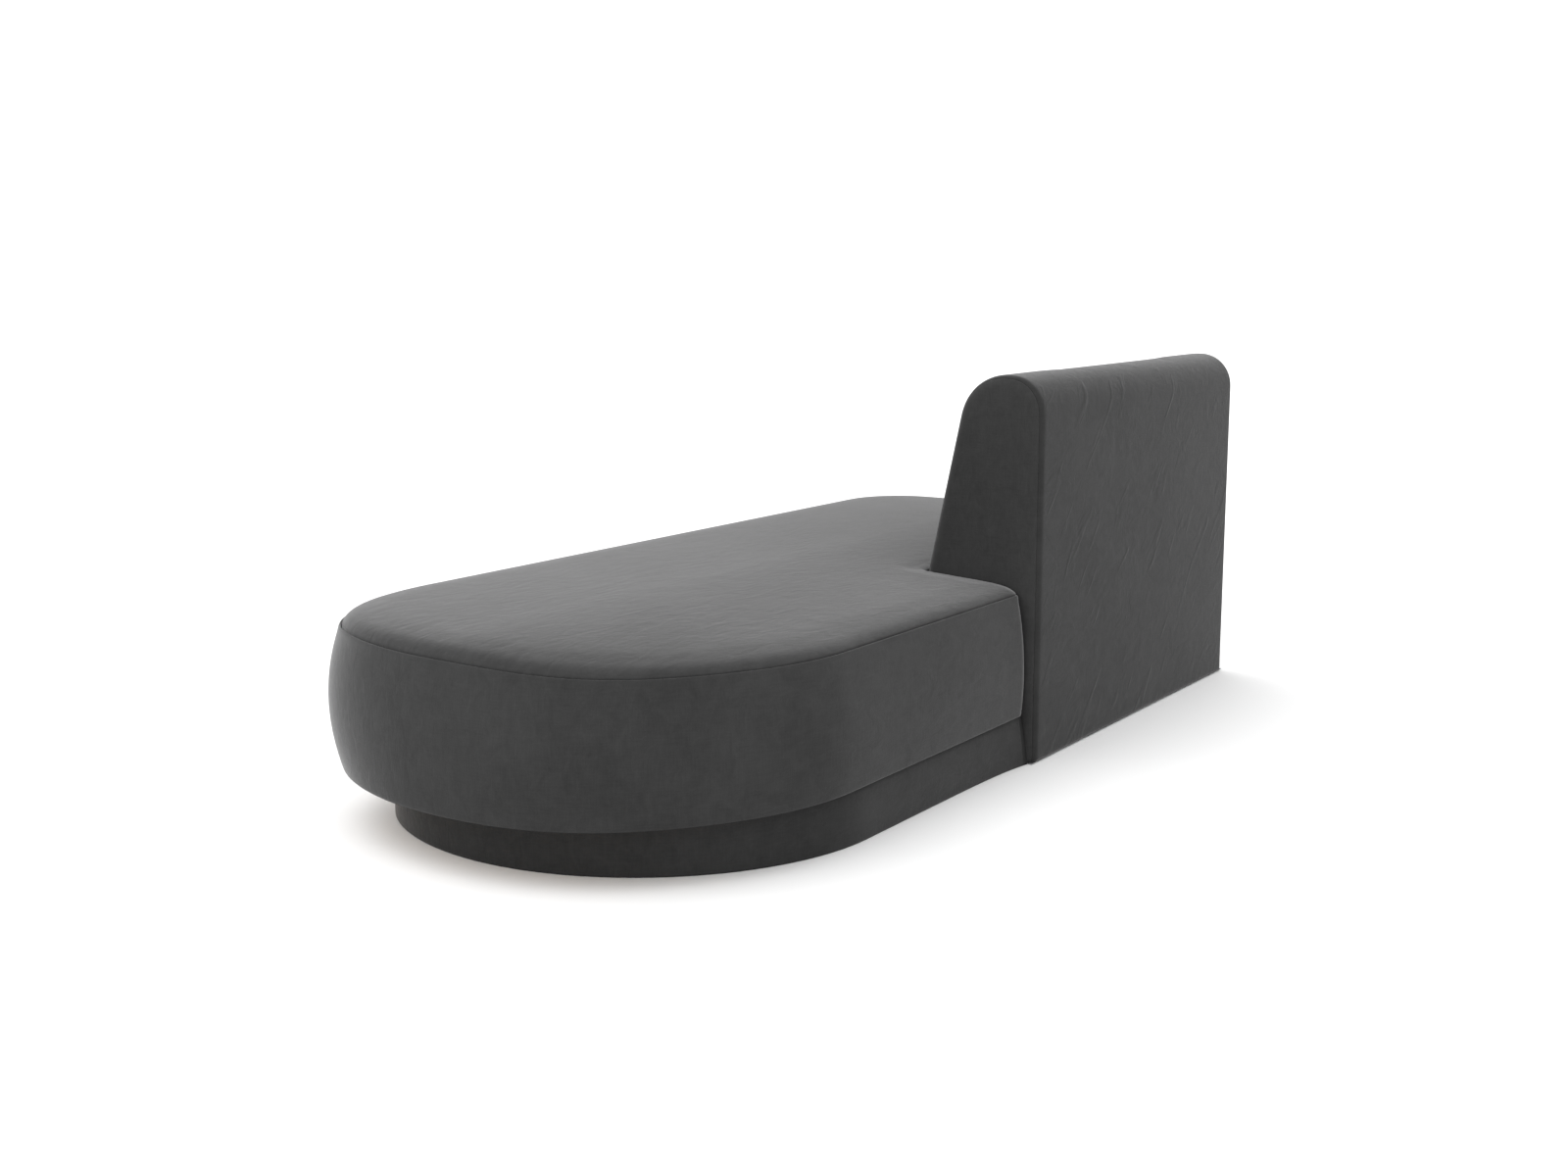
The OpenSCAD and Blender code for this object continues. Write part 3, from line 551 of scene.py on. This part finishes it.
# ---- Plinth glides ----
# Nailed plastic glides under the boards keep the velvet off the floor.
# They are moulded black, with a satin face scuffed by the floor.
glide_plastic = Finish("glide_plastic", Specular_IOR_Level=0.45)
scuff = glide_plastic.noise((1, 1, 1), 700, 4, 0.6)
glide_plastic.dye(glide_plastic.mix(scuff, (0.012, 0.012, 0.013, 1), (0.032, 0.032, 0.033, 1)))
glide_plastic.wear(0.34 + 0.3 * scuff)
glide_plastic.relief(scuff, 0.0001)
glide_plastic.coat("plinth_glides")

# ---- Seat base panel ----
# One plywood panel cut to the seat's outline. The plinth screws hold it, and the side
# cover is folded under its edge. Its face grain runs along the bed.
panel_plywood = plywood_finish("panel_plywood", "X", "Z")
panel_plywood.coat("seat_base_panel")

# ---- Seat frame ----
# Pine rails stand on the panel, with bent plywood at the round end and the front corner.
# Screws go through the rails into the ends of the cross rails.
pine_along.coat("seat_front_rail", "seat_back_rail", "seat_notch_rail")
pine_across.coat("seat_end_rail", "seat_return_rail", "seat_cross_rails", "seat_corner_blocks")
bent_plywood.coat("seat_round_wall", "seat_corner_wall")
zinc_steel.coat("seat_frame_screws")


# ---- Seat webbing ----
# Elastic straps stretched over the frame, one layer across and one along, and stapled.
# The weave has fine ribs across each strap and two paler lines along it.
def webbing_finish(name, along):
    finish = Finish(name, Sheen_Weight=0.25, Specular_IOR_Level=0.3)
    across = {"X": "Y", "Y": "X"}[along]
    ribs = finish.bands(along, 160)
    cords = finish.bands(across, 105)
    fuzz = finish.noise((1, 1, 1), 500, 3, 0.6)
    lines = finish.bands(across, 5.2) ** 14
    black = finish.mix(fuzz, (0.013, 0.013, 0.014, 1), (0.035, 0.035, 0.037, 1))
    finish.dye(finish.mix(0.5 * lines, black, (0.3, 0.3, 0.31, 1)))
    finish.wear(0.66 + 0.25 * fuzz)
    finish.relief(0.7 * ribs + 0.5 * cords + 0.2 * fuzz, 0.0006)
    return finish


webbing_along = webbing_finish("webbing_along", "X")
webbing_across = webbing_finish("webbing_across", "Y")
webbing_along.coat("seat_webbing_along")
webbing_across.coat("seat_webbing_across")
zinc_steel.coat("seat_webbing_staples")

# ---- Seat side cover ----
# A padded band of velvet over a foam strip, from under the base panel up to the seam.
# It is fullest below its middle, and it ends in a small lip at the seam.
seat_low, seat_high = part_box("seat_boxing")
seam_z = seat_high.z
foot_z = seat_low.z
hem_in = 0.005
seat_corner_r = 0.2
seat_plan = (
    seat_low.x + hem_in,
    seat_high.x - hem_in,
    seat_low.y + hem_in,
    seat_high.y - hem_in,
    seat_corner_r - hem_in,
    notch_x,
    notch_y,
)
seam_in = 0.013


def ease(distance, start, stop):
    """0 up to start, 1 beyond stop, and a smooth rise between them."""
    share = np.clip((distance - start) / (stop - start), 0, 1)
    return share * share * (3 - 2 * share)


def soft_shoulders(share):
    """How far the padded round end fills out at its two shoulders, at a share of its height."""

    front_depth = 0.02 + 0.011 * share + 0.054 * share * (1 - share)
    rear_depth = 0.014

    def fuller(angle):
        return rear_depth * swelling(angle, 27, 20) + front_depth * swelling(angle, -52, 24)

    return fuller


def seam_height(line):
    """The seam runs level along the rear, and rises round the end to the fuller front."""
    return seam_z + 0.015 * (1 - ease(line[:, 1], -0.04, 0.34))


def round_off(line, bend=0.012, depth=0.01):
    """Turns the outline in where it meets the side of the backrest, so a groove is left."""
    near_back = line[:, 1] > notch_y + 0.001
    short = np.clip(1 - (line[:, 0] - notch_x) / bend, 0, 1)
    turned = line.copy()
    drop = depth * (1 - np.sqrt(1 - 0.999 * short**2))
    share = np.clip((line[:, 1] - notch_y) / (seat_plan[3] - notch_y), 0, 1)
    turned[:, 1] -= np.where(near_back, drop * share, 0)
    return turned


def side_ring(share, inset):
    """A ring of the side cover: share is 0 at the foot and 1 at the seam."""
    bulge = 0.0105 * 4 * share * (1 - share)
    out = soft_shoulders(min(share, 1))
    line = open_run(around_bed(seat_plan, seam_in * share - bulge + inset, 0.0, out))
    line = round_off(line)
    height = foot_z + (seam_height(line) - foot_z) * share
    return np.column_stack([line, height])


seat_velvet = velvet_finish("seat_velvet", painted_light_tone=0.038, mottle=1.2, sheen=0.57, ripple=0.7)
foam_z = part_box("seat_foam_round")[0].z
# Each pair is the share of the height and the inset from the side's face, from the fold
# under the panel, up the outside, over the lip and down the inside
side_section = [(0.0, 0.038), (0.0, 0.006), (0.0015, 0.0025), (0.007, 0.0008), (0.02, 0.0)]
side_section += [(share, 0.0) for share in np.linspace(0.05, 0.93, 19)]
side_section += [(0.955, -0.0002), (0.975, -0.0008), (0.99, -0.0008), (0.999, 0.0), (1.002, 0.0012)]
side_section += [(0.998, 0.0026), (0.985, 0.0034), (0.95, 0.006), (0.9, 0.012), (0.72, 0.0125)]
side_section += [(0.525, 0.013), (0.51, 0.026), (0.3, 0.03), (0.06, 0.03), (0.052, 0.016), (0.006, 0.016)]
side_rings = [side_ring(share, inset) for share, inset in side_section]
side_count = len(side_rings[0])
side_points = np.concatenate(side_rings)
side_faces = []
for k in range(len(side_rings)):
    following = (k + 1) % len(side_rings)
    side_faces += join_rings(k * side_count, following * side_count, side_count, closed=False)
for end in (0, side_count - 1):
    side_faces.append(tuple(k * side_count + end for k in range(len(side_rings))))


seat_band = make_piece("seat_band", side_points, side_faces, seat_velvet)
smooth_band = seat_band.modifiers.new("soften", "SUBSURF")
smooth_band.levels = 1
smooth_band.render_levels = 1
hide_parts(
    "seat_boxing",
    "boxing_foam_front",
    "boxing_foam_back",
    "boxing_foam_end",
    "boxing_foam_round",
    "boxing_foam_corner",
)
# The band's foot and its end beside the backrest get the dark sheenless fold velvet, as painted shade.
paint_fold_shade(seat_band, lambda at: at.z < foot_z + 0.0022 or at.y > notch_y and at.x < notch_x + 0.007)

# ---- Seat cushion ----
# The foam with its wadding under the top panel of velvet. The panel is sewn to the side
# cover, rolls up from the seam, and crowns gently towards the middle.
seat_top_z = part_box("seat_top_panel")[1].z
top_velvet = velvet_finish("top_velvet", painted_light_tone=0.038, mottle=1.6, sheen=0.58, ripple=1.3)


def cushion_loop(inset, beside):
    return round_off(around_bed(seat_plan, seam_in + inset, beside, soft_shoulders(1)))


def nearest(points, line):
    """Each point's distance to a line of points in plan."""
    best = np.full(len(points), 9.0)
    for first, second in zip(line[:-1], line[1:]):
        along = second - first
        share = np.clip(((points - first) @ along) / max(along @ along, 1e-12), 0, 1)
        best = np.minimum(best, np.linalg.norm(points - first - share[:, None] * along, axis=1))
    return best


top_steps = [(0.004, 0.001), (0.006, 0.0015), (0.01, 0.003), (0.016, 0.006), (0.025, 0.012), (0.036, 0.022)]
top_steps.append((0.05, 0.036))
top_loops = [cushion_loop(inset, beside) for inset, beside in top_steps]
top_points, top_faces = fill_bed(seat_plan, top_loops)
seam_loop = cushion_loop(0.003, 0.0005)
from_seam = nearest(top_points, open_run(seam_loop))
from_back = nearest(top_points, np.concatenate([seam_loop[: REAR_START + 1]]))
toward_front = 1 - ease(top_points[:, 1], -0.1, 0.3)
roll = (0.013 + 0.0095 * toward_front) * (1 - np.exp(-from_seam / 0.013))
crown = (0.022 - 0.008 * toward_front) * (1 - np.exp(-from_seam / 0.16))
tucked = 1 - 0.15 * np.exp(-from_back / 0.005)
level = seam_height(top_points) - 0.006 * toward_front * (1 - np.exp(-from_seam / 0.15))
top_z = level + (roll + crown) * tucked
top_points = np.column_stack([top_points, top_z])
# Each row is the inset, the inset beside the backrest and the height of a hidden ring
hidden_rings = [
    (0.024, 0.012, foam_z + 0.001),
    (0.016, 0.004, foam_z + 0.004),
    (0.014, 0.002, foam_z + 0.012),
    (0.014, 0.001, seam_z - 0.05),
    (0.014, 0.001, seam_z - 0.028),
    (0.0075, 0.001, seam_z - 0.0145),
    (0.0045, 0.001, seam_z - 0.0105),
]
skirt = []
for inset, beside, height in hidden_rings:
    loop = cushion_loop(inset, beside)
    dip = seam_height(loop) - seam_z if height > seam_z - 0.02 else np.zeros(len(loop))
    skirt.append(np.column_stack([loop, height + dip]))
loop_count = len(skirt[0])
first_top = len(skirt) * loop_count
cushion_points = np.concatenate(skirt + [top_points])
cushion_faces = [tuple(range(loop_count))]
for k in range(len(skirt)):
    cushion_faces += join_rings(k * loop_count, (k + 1) * loop_count, loop_count)
cushion_faces += [tuple(first_top + n for n in face) for face in top_faces]
seat_cushion = make_piece("seat_cushion", cushion_points, cushion_faces, top_velvet)


def swell(piece, freedom, pressure, spare, limit):
    """Lets the cover swell over its filling as cloth, and keeps the shape it reaches.

    freedom is each vertex's play from 0 to 1, spare the share of spare cloth, and limit the
    furthest that a vertex may move.
    """
    start = np.array([v.co for v in piece.data.vertices])
    held = piece.vertex_groups.new(name="held")
    for number, play in enumerate(freedom):
        held.add([number], 1 - float(play), "REPLACE")
    cloth = piece.modifiers.new("cover", "CLOTH")
    cloth.settings.quality = 4
    cloth.settings.mass = 0.3
    cloth.settings.tension_stiffness = 12
    cloth.settings.compression_stiffness = 12
    cloth.settings.shear_stiffness = 6
    cloth.settings.bending_stiffness = 0.6
    cloth.settings.air_damping = 2
    cloth.settings.use_pressure = True
    cloth.settings.uniform_pressure_force = pressure
    cloth.settings.shrink_min = -spare
    cloth.settings.vertex_group_mass = "held"
    cloth.settings.effector_weights.gravity = 0
    cloth.point_cache.frame_start = 1
    cloth.point_cache.frame_end = 20
    for moment in range(1, 21):
        bpy.context.scene.frame_set(moment)
    reached = piece.evaluated_get(bpy.context.evaluated_depsgraph_get()).data
    finish = np.array([v.co for v in reached.vertices])
    piece.modifiers.remove(cloth)
    piece.vertex_groups.remove(held)
    bpy.context.scene.frame_set(1)
    step = finish - start
    size = np.linalg.norm(step, axis=1)
    step *= (limit * np.tanh(size / limit) / np.maximum(size, 1e-9))[:, None]
    piece.data.vertices.foreach_set("co", (start + step * freedom[:, None]).ravel())
    piece.data.update()


play = np.zeros(len(cushion_points))
play[first_top:] = ease(from_seam, 0.012, 0.09) * ease(from_back, 0.006, 0.06)
swell(seat_cushion, play, 1.2, 0.004, 0.0018)
smooth_top = seat_cushion.modifiers.new("soften", "SUBSURF")
smooth_top.levels = 1
smooth_top.render_levels = 1
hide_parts("seat_top_panel", "seat_wadding", "seat_foam_round", "seat_foam_end")

# ---- Backrest frame ----
# Four shaped plywood ribs with pine rails between them, screwed through the outer ribs.
# The rear rail backs the board, and the joint rail takes the bolts to the seat.
rib_plywood = plywood_finish("rib_plywood", "Z", "X")
rib_plywood.coat("back_near_rib", "back_far_rib", "back_middle_ribs")
pine_along.coat("back_top_rail", "back_ledge_rail", "back_joint_rail", "back_foot_rails", "back_rear_rail")
zinc_steel.coat("back_frame_screws")

# ---- Backrest board ----
# A sheet of oil-tempered hardboard nailed over the rear of the ribs.
# Its face is smooth brown, with a fine fibre speckle.
hardboard = Finish("hardboard", Specular_IOR_Level=0.4)
fleck = hardboard.noise((1, 1, 1), 380, 5, 0.7, 0.8)
stain = hardboard.noise((1, 1, 1), 5, 3)
brown = hardboard.mix(fleck, (0.1, 0.055, 0.028, 1), (0.24, 0.14, 0.075, 1))
hardboard.dye(hardboard.mix(0.4 * stain, brown, (0.08, 0.042, 0.022, 1)))
hardboard.wear(0.4 + 0.3 * fleck)
hardboard.relief(fleck, 0.0002)
hardboard.coat("back_board")

# ---- Backrest webbing ----
# Three elastic straps across the leaning face carry the foam. They are stapled to the
# outer ribs.
webbing_along.coat("back_webbing")
zinc_steel.coat("back_webbing_staples")


# ---- Backrest cover ----
# Velvet wraps the foam in one piece, from the floor up the leaning front, over the
# crown and down the rear to the floor. Wadding rounds its two ends to the side seams.
wrap_low, wrap_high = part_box("back_cover_wrap")
near_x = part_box("back_cover_near_side")[1].x
far_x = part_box("back_cover_far_side")[0].x
front_y = wrap_low.y
rear_y = wrap_high.y
crown_top = wrap_high.z
lean = math.radians(12.2)
front_arc = 0.1
rear_arc = 0.075
lean_foot_z = seat_top_z
crown_z = crown_top - front_arc
crown_y = front_y + (crown_z - lean_foot_z) * math.tan(lean) + front_arc / math.cos(lean)
rear_arc_y = rear_y - rear_arc
rear_arc_z = crown_top - rear_arc
edge_r = 0.024
seam_turn = math.radians(43)
FRONT_STEPS = 56
CROWN_STEPS = 20
REAR_STEPS = 60
FOOT_STEPS = 20


def back_outline(inset, low_front, low_rear, with_foot):
    """The backrest seen from its side, pulled in by inset, as points in Y and Z.

    Its front edges are half as round below the seat, where the ribs stand close behind.
    """

    def arc(y, z, radius, start, stop):
        return [
            (y + radius * math.cos(a), z + radius * math.sin(a))
            for a in np.linspace(start, stop, 30)
        ]

    bend_z = lean_foot_z - inset * math.tan(lean / 2)
    half_turn = math.pi * 0.75
    tight_y = front_y + 0.5 * inset
    front = [(tight_y, low_front), (tight_y, bend_z - 0.04), (front_y + inset, bend_z)]
    front += arc(crown_y, crown_z, front_arc - inset, math.pi - lean, half_turn)
    crown = arc(crown_y, crown_z, front_arc - inset, half_turn, math.pi / 2)
    crown += arc(rear_arc_y, rear_arc_z, rear_arc - inset, math.pi / 2, math.pi / 4)
    rear = arc(rear_arc_y, rear_arc_z, rear_arc - inset, math.pi / 4, 0)
    rear.append((rear_y - inset, low_rear))
    parts = [even_steps(front, FRONT_STEPS), even_steps(crown, CROWN_STEPS), even_steps(rear, REAR_STEPS)]
    foot = [(rear_y - inset, low_rear), (front_y + inset, low_front)]
    if with_foot:
        parts.append(even_steps(foot, FOOT_STEPS))
    else:
        parts.append(np.array([foot[0]]))
    return np.concatenate(parts)


# This copy of the velvet is darker and has less sheen than the seat's: painted shade on the backrest's
# wrap.
back_velvet = velvet_finish("back_velvet", painted_light_tone=0.030, mottle=1.2, sheen=0.48, creases=3.0)
cover_foot_z = 0.0018
wrap_foot_z = cover_foot_z
pad_depth = 0.009
span_x = near_x - far_x


def rounded(turn, sink):
    """How far in from the side face and from the section the rounded edge lies."""
    return edge_r - (edge_r - sink) * math.sin(turn), edge_r - (edge_r - sink) * math.cos(turn)


# Each pair is a share of the turn from the full section to the seam, and a sink below the edge
turns = [(0.996, 0.0013), (0.98, 0.0003)]
turns += [(share, 0.0) for share in (0.94, 0.84, 0.7, 0.5, 0.25, 0.0)]
edge_stations = [rounded(seam_turn * share, sink) for share, sink in turns]
first_full = edge_stations[-1][0]
mid_stations = np.linspace(first_full, span_x - first_full, 84)[1:-1]
stations = [(near_x - e, inset) for e, inset in edge_stations]
stations += [(near_x - e, 0.0) for e in mid_stations]
stations += [(far_x + e, inset) for e, inset in reversed(edge_stations)]
wrap_rings = []
for x, inset in stations:
    outer = back_outline(inset, wrap_foot_z, cover_foot_z, False)
    inner = back_outline(inset + pad_depth, wrap_foot_z + 0.001, cover_foot_z + 0.002, False)[::-1]
    section = np.concatenate([outer, inner])
    wrap_rings.append(np.column_stack([np.full(len(section), x), section]))
wrap_count = len(wrap_rings[0])
outer_count = wrap_count // 2
wrap_points = np.concatenate(wrap_rings)
wrap_faces = []
for k in range(len(wrap_rings) - 1):
    wrap_faces += join_rings(k * wrap_count, (k + 1) * wrap_count, wrap_count)
for first in (0, (len(wrap_rings) - 1) * wrap_count):
    for k in range(outer_count - 1):
        last = first + wrap_count - 1
        wrap_faces.append((first + k, first + k + 1, last - k - 1, last - k))
backrest_cover = make_piece("backrest_cover", wrap_points, wrap_faces, back_velvet)
from_end = np.minimum(near_x - wrap_points[:, 0], wrap_points[:, 0] - far_x)
from_foot = wrap_points[:, 2] - cover_foot_z
wrap_play = ease(from_end, 0.014, 0.3) * ease(from_foot, 0.004, 0.25)
is_outer = np.tile(np.arange(wrap_count) < outer_count, len(wrap_rings))
above_seat = ease(wrap_points[:, 2], lean_foot_z + 0.01, lean_foot_z + 0.1)
near_seat = np.where(wrap_points[:, 1] < crown_y, above_seat, 1)
on_board = 1 - 0.6 * ease(wrap_points[:, 1], crown_y, rear_y - 0.03)
swell(backrest_cover, wrap_play * is_outer * near_seat * on_board, 1.5, 0.006, 0.0018)
smooth_wrap = backrest_cover.modifiers.new("soften", "SUBSURF")
smooth_wrap.levels = 1
smooth_wrap.render_levels = 1
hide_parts("back_cover_wrap", "back_wadding", "back_foam")

# ---- Backrest side panels ----
# A flat panel of velvet over thin foam closes each end of the backrest. It is sewn to the
# wrap on the rounded edge, and small pleats fan down below the crown.
panel_velvet = velvet_finish("panel_velvet", painted_light_tone=0.037, mottle=1.1, sheen=0.52)
PANEL_LOOP = FRONT_STEPS + CROWN_STEPS + REAR_STEPS + FOOT_STEPS


def panel_points(side_x, inward):
    """Rings of one side panel from its seam to its middle, on the face at side_x."""
    rings = []
    past_seam = [(1.004, 0.0013), (1.02, 0.0003)]
    past_seam += [(share, 0.0) for share in (1.08, 1.25, 1.5, 1.8, 2.09)]
    for share, sink in past_seam:
        depth, inset = rounded(seam_turn * share, sink)
        rings.append((depth, back_outline(inset, cover_foot_z, cover_foot_z, True)))
    rings.append((0.0, back_outline(0.034, cover_foot_z + 0.01, cover_foot_z + 0.01, True)))
    rings.append((0.0, back_outline(0.046, cover_foot_z + 0.022, cover_foot_z + 0.022, True)))
    return [np.column_stack([side_x + inward * (depth + pucker(line)), line]) for depth, line in rings]


def pucker(line):
    """Small pleats fan down from the crown's seam, and die out below it."""
    around = np.arctan2(line[:, 0] - crown_y, line[:, 1] - crown_z)
    from_crown = np.hypot(line[:, 0] - crown_y, line[:, 1] - crown_z - 0.045)
    pleats = 0.5 - 0.5 * np.cos(around * 11 + 0.8 * np.sin(around * 5))
    return 0.0011 * pleats * np.exp(-((from_crown / 0.05) ** 2))


def make_panel(name, side_x, inward, node_names):
    rings = panel_points(side_x, inward)
    back_ring = [ring + np.array([inward * 0.01, 0, 0]) for ring in rings[:1]]
    all_rings = back_ring + rings
    spine_low = np.array([side_x, (front_y + rear_y) / 2 + 0.01, 0.1])
    spine_high = np.array([side_x, crown_y - 0.005, crown_z - 0.005])
    last = rings[-1]
    share = np.clip((last[:, 2] - 0.06) / (crown_z - 0.08), 0, 1)
    spine = spine_low + share[:, None] * (spine_high - spine_low)
    for s in (0.2, 0.4, 0.6, 0.8, 0.93):
        all_rings.append(last * (1 - s) + spine * s)
    points = np.concatenate(all_rings)
    faces = [tuple(range(PANEL_LOOP))]
    for k in range(len(all_rings) - 1):
        faces += join_rings(k * PANEL_LOOP, (k + 1) * PANEL_LOOP, PANEL_LOOP)
    edge = (len(all_rings) - 1) * PANEL_LOOP
    faces.append(tuple(range(edge, edge + PANEL_LOOP)))
    panel = make_piece(name, points, faces, panel_velvet)
    soften = panel.modifiers.new("soften", "SUBSURF")
    soften.levels = 1
    soften.render_levels = 1
    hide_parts(*node_names)
    return panel


make_panel("backrest_near_panel", near_x, -1, ["back_cover_near_side", "back_near_pad"])
make_panel("backrest_far_panel", far_x, 1, ["back_cover_far_side", "back_far_pad"])

# ---- Backrest dust cover ----
# The same black cloth closes the underside of the backrest. It is stapled to the foot
# rails.
under_low, under_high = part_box("back_dust_cover")
under_steps = [24, 6]
under_points = []
for x in np.linspace(under_low.x, under_high.x, under_steps[0] + 1):
    for y in np.linspace(under_low.y, under_high.y, under_steps[1] + 1):
        sag = 0.0006 * math.sin((x - under_low.x) * 11) * math.sin((y - under_low.y) * 14)
        under_points.append((x, y, (under_low.z + under_high.z) / 2 + sag))
row = under_steps[1] + 1
under_faces = [
    (i * row + j, (i + 1) * row + j, (i + 1) * row + j + 1, i * row + j + 1)
    for i in range(under_steps[0])
    for j in range(under_steps[1])
]
backrest_dust_sheet = make_piece("backrest_dust_sheet", under_points, under_faces, dust_cloth)
thicken(backrest_dust_sheet, 0.0008)
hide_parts("back_dust_cover")

# ---- Backrest glides ----
# Four more nailed glides stand under the outer ribs. They are of the same black plastic
# as those of the plinth.
glide_plastic.coat("back_glides")

# ---- Joining bolts ----
# Four bolts with washers go through the joint rail into T-nuts behind the seat's notch
# rail. All are zinc-plated like the screws.
zinc_steel.coat("join_bolts", "join_washers", "join_t_nuts")
